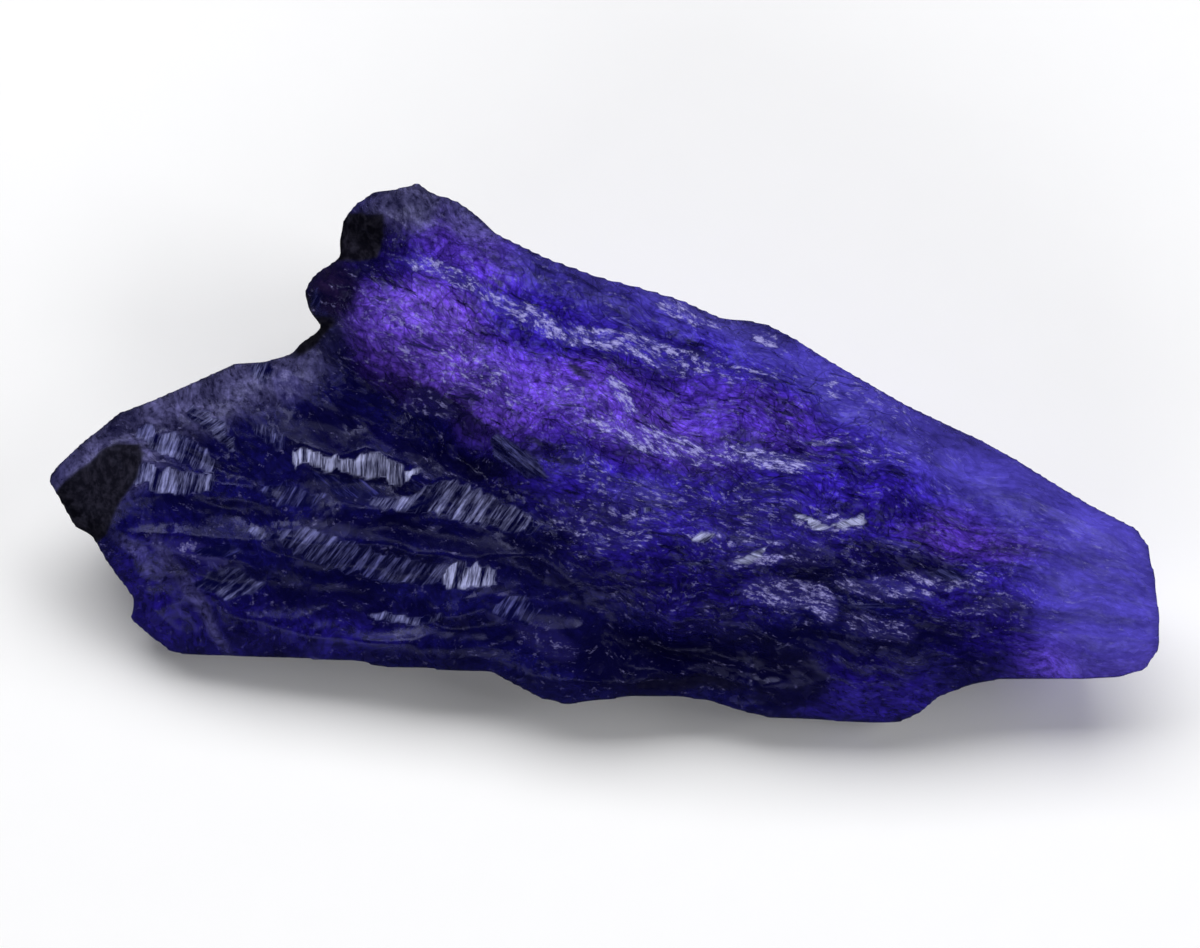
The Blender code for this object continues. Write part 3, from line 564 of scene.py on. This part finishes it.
# Where each lined face is, and its lines' own coordinates: across them, along them, and how bright their painted
# highlight is
lined = np.zeros_like(u)
lines_at = np.zeros((len(u), 3))
ragged_u, ragged_v = u, v
for size, reach, seed in PATCH_BENDS:
    ragged_u = ragged_u + reach * noise((u, v), size, seed)
    ragged_v = ragged_v + reach * noise((u, v), size, seed + 1)
for patch, lean, painted_shine in PATCHES:
    c, s = math.cos(math.radians(lean)), math.sin(math.radians(lean))
    across, along_lines = u * c - v * s, u * s + v * c
    room = min(np.ptp(patch, axis=0)) / 4
    frayed = min(FRAYED, room) * noise((across, TUFT_DRAWN * along_lines), TUFT, 75)
    amount = edged(patch, PATCH_EDGE, ragged_u + frayed * s, ragged_v + frayed * c) * on_face
    better = amount > lined
    lined = np.where(better, amount, lined)
    lines_at = np.where(better[:, None], np.column_stack([across, along_lines, np.full_like(u, painted_shine)]), lines_at)
keep("lined", lined)
keep("lines_at", lines_at)

# The table's plane cuts the flat back, and the stone's middle comes to stand above the origin
bm = bmesh.new()
bm.from_mesh(mesh)
cut = bmesh.ops.bisect_plane(
    bm, geom=bm.verts[:] + bm.edges[:] + bm.faces[:], plane_co=(0, 0, 0), plane_no=(0, 0, 1),
    clear_inner=True, dist=0.0001,
)
rim = [part for part in cut["geom_cut"] if isinstance(part, bmesh.types.BMEdge)]
bmesh.ops.triangle_fill(bm, edges=rim, use_beauty=True, normal=(0, 0, -1))
bmesh.ops.recalc_face_normals(bm, faces=bm.faces[:])
corners = np.array([vert.co for vert in bm.verts])
middle_x, middle_y = (corners[:, :2].min(axis=0) + corners[:, :2].max(axis=0)) / 2
bmesh.ops.translate(bm, verts=bm.verts, vec=(-middle_x, -middle_y, 0.0))
bmesh.ops.scale(bm, verts=bm.verts, vec=(MM, MM, MM))
bm.to_mesh(mesh)
bm.free()

# Edges that turn by more than this many degrees stay crisp
CRISP_EDGE = 60
mesh.polygons.foreach_set("use_smooth", np.ones(len(mesh.polygons), dtype=bool))
mesh.set_sharp_from_angle(angle=math.radians(CRISP_EDGE))
crystal.data = mesh


# Tanzanite: see-through blue-violet crystal, cloudy with healed cracks. Its broken surface is a mosaic of
# small glassy facets, the risers carry fine growth lines, and films of graphite lie on some breaks.
def linear(hex_colour):
    """An sRGB colour such as "8064c8" as linear red, green, blue and alpha."""
    parts = [int(hex_colour[k : k + 2], 16) / 255 for k in (0, 2, 4)]
    return (*[p / 12.92 if p <= 0.04045 else ((p + 0.055) / 1.055) ** 2.4 for p in parts], 1.0)


def add(tree, kind, settings=None, *inputs, out=0):
    """Adds a shader node and gives one of its outputs. Settings go to its properties, or to its inputs by name or
    number, and inputs go to its first ones in order. A socket is linked, and a hex colour is made linear."""
    node = tree.nodes.new("ShaderNode" + kind)
    for key, value in {**(settings or {}), **dict(enumerate(inputs))}.items():
        if isinstance(key, str) and hasattr(node, key):
            setattr(node, key, value)
        elif isinstance(value, bpy.types.NodeSocket):
            tree.links.new(value, node.inputs[key])
        else:
            node.inputs[key].default_value = linear(value) if isinstance(value, str) else value
    return node.outputs[out]


material = bpy.data.materials.new("rough_tanzanite")
material.use_nodes = True
tree = material.node_tree
shader = tree.nodes["Principled BSDF"]
# The refraction is zoisite's. The stone is cloudy inside, so a small share of the light goes through it
shader.inputs["IOR"].default_value = 1.69
shader.inputs["Transmission Weight"].default_value = 0.15
shader.inputs["Specular Tint"].default_value = linear("c4c6ff")
TIMES = {"operation": "MULTIPLY"}

# The grain's own coordinates in millimetres, bent a little so that no edge is quite straight: (size of the
# bends, how far)
BENDS = ((1.6, 0.45), (0.3, 0.08))
bent = add(tree, "Attribute", {"attribute_name": "grain"}, out=1)
for size, reach in BENDS:
    bend = add(tree, "TexNoise", {"Scale": 1 / size, "Detail": 1.0, "Vector": bent}, out=1)
    bend = add(tree, "VectorMath", {"operation": "SUBTRACT"}, bend, (0.5, 0.5, 0.5))
    bent = add(tree, "VectorMath", {"operation": "MULTIPLY_ADD"}, bend, (reach, reach, reach), bent)
crushed = add(tree, "Attribute", {"attribute_name": "crushed"}, out=2)
painted_glint = add(tree, "Attribute", {"attribute_name": "painted_glint"}, out=2)

# Colour: dark navy where the stone is thick, then each zone over the one before. The pale grey-lilac zone paints
# a sheen, and the darkest zone paints shade as well as dark stone
THICK_STONE = "0b0942"
ZONE_COLOURS = {
    "royal": "3822b8", "violet": "7a50ec", "pale_sheen": "56547e", "plum": "1c1026", "milk": "584ec8", "dark_and_shade": "04031a",
}
colour = THICK_STONE
for name, zone_colour in ZONE_COLOURS.items():
    amount = add(tree, "Attribute", {"attribute_name": name}, out=2)
    colour = add(tree, "Mix", {"data_type": "RGBA", 6: colour, 7: zone_colour}, amount, out=2)

# How light each spot is. Clouds in the stone: (size in mm, drawn out along the grain, finer ones, how much they
# change it, and what of that is left where the stone is milky)
CLOUDS = ((2.2, 0.6, 5.0, 0.85, 0.55), (0.24, 0.9, 3.0, 0.8, 0.32))
LIGHTNESS = 0.9
milk = add(tree, "Attribute", {"attribute_name": "milk"}, out=2)
patterns = []
light = LIGHTNESS
for size, drawn, detail, change, kept in CLOUDS:
    place = add(tree, "Mapping", {"Scale": (drawn / size, 1.0 / size, 1.0 / size)}, bent)
    pattern = add(tree, "TexNoise", {"Scale": 1.0, "Detail": detail, "Roughness": 0.7, "Vector": place})
    patterns.append(pattern)
    change = add(tree, "MapRange", None, pattern, 0.34, 0.66, -change, 0.7 * change)
    kept = add(tree, "MapRange", None, milk, 0.0, 0.9, 1.0, kept)
    light = add(tree, "Math", TIMES, light, add(tree, "Math", {"operation": "MULTIPLY_ADD"}, change, kept, 1.0))
cloud, crumb = patterns

# Small facets, coarse and fine ones, in mm: each has a shade of its own, taken from its random colour
FACETS = (0.5, 0.2)
FACETS_DRAWN = 0.9
facets = []
for size in FACETS:
    place = add(tree, "Mapping", {"Scale": (FACETS_DRAWN / size, 1.0 / size, 1.0 / size)}, bent)
    facets.append(add(tree, "TexVoronoi", {"Scale": 1.0, "Vector": place}, out=1))
coarse_shade, fine_shade = (add(tree, "SeparateColor", None, facet, out=2) for facet in facets)
uneven = add(tree, "MapRange", None, coarse_shade, 0.0, 1.0, -0.22, 0.22)
settled = add(tree, "MapRange", None, milk, 0.0, 0.9, 1.0, 0.35)
light = add(tree, "Math", TIMES, light, add(tree, "Math", {"operation": "MULTIPLY_ADD"}, uneven, settled, 1.0))

# Cracks, healed in some places and open in others, as (mm between them, share of that on each side), and
# fissures, as how many to the millimetre. Real ones are hairlines, and these are drawn 0.05 mm wide and more so
# that they show
CRACKS = ((1.1, 0.04), (0.5, 0.08))
FISSURES_PER_MM = (0.5, 2.4, 1.6)
open_here = add(tree, "Math", TIMES, add(tree, "MapRange", None, crumb, 0.42, 0.56), crushed)
open_here = add(tree, "Math", TIMES, open_here, add(tree, "MapRange", None, cloud, 0.66, 0.46, 0.4, 1.0))
for size, width in CRACKS:
    crack = add(tree, "TexVoronoi", {"feature": "DISTANCE_TO_EDGE", "Scale": 1 / size, "Vector": bent})
    crack = add(tree, "MapRange", None, crack, 0.0, width, 0.9, 0.0)
    crack = add(tree, "Math", TIMES, crack, open_here)
    light = add(tree, "Math", TIMES, light, add(tree, "Math", {"operation": "SUBTRACT"}, 1.0, crack))
place = add(tree, "Mapping", {"Scale": FISSURES_PER_MM}, bent)
fissure = add(tree, "TexNoise", {"Scale": 1.0, "Detail": 4.0, "Roughness": 0.65, "Vector": place})
fissure = add(tree, "Math", TIMES, add(tree, "MapRange", None, fissure, 0.42, 0.36, 0.0, 0.85), crushed)
light = add(tree, "Math", TIMES, light, add(tree, "Math", {"operation": "SUBTRACT"}, 1.0, fissure))
colour = add(tree, "HueSaturation", {"Value": light, "Color": colour})

# A painted glow, standing in for light from inside the stone, lifts its darkest spots a little
INNER_GLOW_PAINTED = "03022a"
colour = add(tree, "Mix", {"data_type": "RGBA", "blend_type": "ADD", 6: colour, 7: INNER_GLOW_PAINTED}, 1.0, out=2)

# Painted glints on glassy splinters, 0.45 mm long and shorter: few in most places, and crowded in the bands that
# catch the light, where the stone between them gets a painted sheen
SPLINTERS_PER_MM = (2.2, 3.6, 3.6)
PAINTED_SHEEN = "4a42a8"
SPLINTER_GLINT = "b4b0f4"
painted_sheen = add(tree, "Math", TIMES, painted_glint, 0.45)
colour = add(tree, "Mix", {"data_type": "RGBA", 6: colour, 7: PAINTED_SHEEN}, painted_sheen, out=2)
place = add(tree, "Mapping", {"Scale": SPLINTERS_PER_MM}, bent)
ragged = add(tree, "TexNoise", {"Scale": 1.0, "Detail": 4.0, "Roughness": 0.8, "Vector": place})
ragged = add(tree, "Math", {"operation": "MULTIPLY_ADD"}, fine_shade, 0.07, ragged)
ragged = add(tree, "Math", {"operation": "MULTIPLY_ADD"}, painted_glint, 0.17, ragged)
splinter_glint = add(tree, "MapRange", None, ragged, 0.64, 0.79)
splinter_glint = add(tree, "Math", TIMES, splinter_glint, add(tree, "MapRange", None, painted_glint, 0.0, 0.6, 0.5, 1.0))
splinter_glint = add(tree, "Math", TIMES, splinter_glint, add(tree, "MapRange", None, crushed, 0.0, 0.8, 0.3, 1.0))
colour = add(tree, "Mix", {"data_type": "RGBA", 6: colour, 7: SPLINTER_GLINT}, splinter_glint, out=2)

# Growth lines on the risers, from 0.4 mm apart down to 0.05 mm: real ones are finer still, and wouldn't show.
# Dull risers stay blue, and bright ones get a nearly white painted highlight between the dark lines
LINES_PER_MM = (2.6, 0.26, 8.0)
LINES_DARK, LINES_DULL, LINES_HIGHLIGHT = "050538", "2c2c92", "c8ccff"
lines_at = add(tree, "Attribute", {"attribute_name": "lines_at"}, out=1)
place = add(tree, "Mapping", {"Scale": LINES_PER_MM}, lines_at)
lines = add(tree, "TexNoise", {"Scale": 1.0, "Detail": 4.0, "Roughness": 0.8, "Vector": place})
painted_shine = add(tree, "SeparateXYZ", None, lines_at, out=2)
lines = add(tree, "Math", {"operation": "MULTIPLY_ADD"}, painted_shine, 0.125, lines)
lines = add(tree, "MapRange", None, lines, 0.50, 0.72)
lines = add(tree, "Math", {"operation": "POWER"}, lines, 1.8)
painted_shine = add(tree, "Math", TIMES, painted_shine, painted_shine)
painted_shine = add(tree, "Math", TIMES, painted_shine, add(tree, "MapRange", None, cloud, 0.36, 0.56, 0.7, 1.2))
riser_highlight = add(tree, "Mix", {"data_type": "RGBA", 6: LINES_DULL, 7: LINES_HIGHLIGHT}, painted_shine, out=2)
line_colour = add(tree, "Mix", {"data_type": "RGBA", 6: LINES_DARK, 7: riser_highlight}, lines, out=2)
lined = add(tree, "Attribute", {"attribute_name": "lined"}, out=2)
colour = add(tree, "Mix", {"data_type": "RGBA", 6: colour, 7: line_colour}, lined, out=2)

# Graphite films: dull, nearly black and granular, with grains of 0.3 mm and less
GRAINS_PER_MM = 3.3
FILM_BLACK, FILM_GREY = "030207", "24222e"
graphite = add(tree, "Attribute", {"attribute_name": "graphite"}, out=2)
speck = add(tree, "TexNoise", {"Scale": GRAINS_PER_MM, "Detail": 4.0, "Roughness": 0.75, "Vector": bent})
speck = add(tree, "MapRange", None, speck, 0.44, 0.64)
film = add(tree, "Mix", {"data_type": "RGBA", 6: FILM_BLACK, 7: FILM_GREY}, speck, out=2)
colour = add(tree, "Mix", {"data_type": "RGBA", 6: colour, 7: film}, graphite, out=2)
tree.links.new(colour, shader.inputs["Base Color"])

# Glassy breaks, some a little duller than others, and dull graphite
GLASSY, DULLER, GRAPHITE_DULLS = 0.16, 0.30, 0.35
rough = add(tree, "MapRange", None, coarse_shade, 0.0, 1.0, GLASSY, DULLER)
rough = add(tree, "Math", {"operation": "MULTIPLY_ADD"}, graphite, GRAPHITE_DULLS, rough)
tree.links.new(rough, shader.inputs["Roughness"])

# The facets lean at random, coarse and fine ones this far, and fine hackles of 0.3 mm roughen them
LEANS = (0.35, 0.45)
HACKLES_PER_MM = 3.3
HACKLE_HEIGHT = 0.1
outwards = add(tree, "NewGeometry", out=1)
for facet, tilt in zip(facets, LEANS):
    lean = add(tree, "VectorMath", {"operation": "SUBTRACT"}, facet, (0.5, 0.5, 0.5))
    lean = add(tree, "VectorMath", {"operation": "SCALE", "Scale": add(tree, "Math", TIMES, crushed, tilt)}, lean)
    outwards = add(tree, "VectorMath", {"operation": "ADD"}, outwards, lean)
outwards = add(tree, "VectorMath", {"operation": "NORMALIZE"}, outwards)
hackle = add(tree, "TexNoise", {
    "Scale": HACKLES_PER_MM, "Detail": 2.0, "Vector": add(tree, "Attribute", {"attribute_name": "grain"}, out=1)})
strength = add(tree, "Math", {"operation": "MULTIPLY_ADD"}, crushed, 0.5, 0.05)
bump = add(tree, "Bump", {"Strength": strength, "Distance": HACKLE_HEIGHT * MM, "Height": hackle, "Normal": outwards})
tree.links.new(bump, shader.inputs["Normal"])

# Light that enters turns blue and fades within a few millimetres
DEPTHS = "6a48d8"
DENSITY = 400.0
depths = add(tree, "VolumeAbsorption", {"Color": DEPTHS, "Density": DENSITY})
tree.links.new(depths, tree.nodes["Material Output"].inputs["Volume"])
mesh.materials.clear()
mesh.materials.append(material)

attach(crystal, "root")
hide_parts("tanzanite_crystal")


# Floor: one plain sheet of near-white paper, which isn't part of the stone. The stone doesn't mirror it, because
# in the photo nothing pale is mirrored in the dark crystal.
FLOOR_SIZE = 3.0
FLOOR_GAP = 0.02
PULP_CLOUDS = 2.5
PAPER_DULL, PAPER_BRIGHT = "fafafb", "fcfcfd"
paper = bpy.data.materials.new("white_paper")
paper.use_nodes = True
paper_tree = paper.node_tree
paper_shader = paper_tree.nodes["Principled BSDF"]
paper_shader.inputs["Roughness"].default_value = 0.9
paper_shader.inputs["Specular IOR Level"].default_value = 0.1
# Clouds of fibres: single fibres are too fine to show
place = add(paper_tree, "TexCoord", out=3)
pulp = add(paper_tree, "TexNoise", {"Scale": 1 / (PULP_CLOUDS * MM), "Detail": 3.0, "Vector": place})
tone = add(paper_tree, "Mix", {"data_type": "RGBA", 6: PAPER_DULL, 7: PAPER_BRIGHT}, pulp, out=2)
paper_tree.links.new(tone, paper_shader.inputs["Base Color"])

sheet = bpy.data.meshes.new("floor")
bm = bmesh.new()
bmesh.ops.create_grid(bm, x_segments=1, y_segments=1, size=FLOOR_SIZE / 2)
bm.to_mesh(sheet)
bm.free()
sheet.materials.append(paper)
floor = bpy.data.objects.new("floor", sheet)
bpy.context.scene.collection.objects.link(floor)
floor.location.z = -FLOOR_GAP * MM
floor.visible_glossy = False


# Lights: a wide softbox above the far side gives most of the light, a low one at the near side lights the risers,
# one at the right fills in, and a small key glints on the facets. Only the key is mirrored in the stone: name,
# azimuth and elevation in degrees, width and height in metres, watts, mirrored
LAMP_DISTANCE = 0.60
SOFTBOXES = (
    ("far_softbox", 180, 62, 0.70, 0.40, 3.7, False),
    ("key_softbox", -120, 60, 0.20, 0.20, 0.18, True),
    ("near_softbox", -20, 20, 0.60, 0.24, 1.7, False),
    ("right_softbox", 80, 35, 0.30, 0.30, 0.9, False),
)
for name, azimuth, elevation, width, height, watts, mirrored in SOFTBOXES:
    softbox = bpy.data.lights.new(name, "AREA")
    softbox.shape = "RECTANGLE"
    softbox.size, softbox.size_y = width, height
    softbox.energy = watts
    lamp = bpy.data.objects.new(name, softbox)
    bpy.context.scene.collection.objects.link(lamp)
    turn, lift = math.radians(azimuth), math.radians(elevation)
    towards = (math.sin(turn) * math.cos(lift), -math.cos(turn) * math.cos(lift), math.sin(lift))
    lamp.location = [LAMP_DISTANCE * part for part in towards]
    lamp.rotation_euler = (math.pi / 2 - lift, 0.0, turn)
    lamp.visible_glossy = mirrored

# The dim room round the lamps
ROOM = "dfe2ff"
ROOM_LIGHT = 0.02
world = bpy.data.worlds.new("studio")
bpy.context.scene.world = world
world.use_nodes = True
world.node_tree.nodes["Background"].inputs["Color"].default_value = linear(ROOM)
world.node_tree.nodes["Background"].inputs["Strength"].default_value = ROOM_LIGHT


# Camera: looks straight at the broad face, through a long lens
VIEW_WIDTH = 60.0
DISTANCE = 300.0
SENSOR_WIDTH = 36.0
NEAR_LIMIT = 0.01
camera = bpy.data.cameras.new("camera")
camera.sensor_width = SENSOR_WIDTH
camera.lens = SENSOR_WIDTH * DISTANCE / VIEW_WIDTH
camera.clip_start = NEAR_LIMIT
eye = bpy.data.objects.new("camera", camera)
bpy.context.scene.collection.objects.link(eye)
away = stood_up(np.zeros(1), np.zeros(1), np.array([DISTANCE]))[0]
eye.location = ((away[0] - middle_x) * MM, (away[1] - middle_y) * MM, away[2] * MM)
eye.rotation_euler = (FACE_LEAN, 0.0, 0.0)
bpy.context.scene.camera = eye
bpy.context.scene.view_settings.view_transform = "Standard"
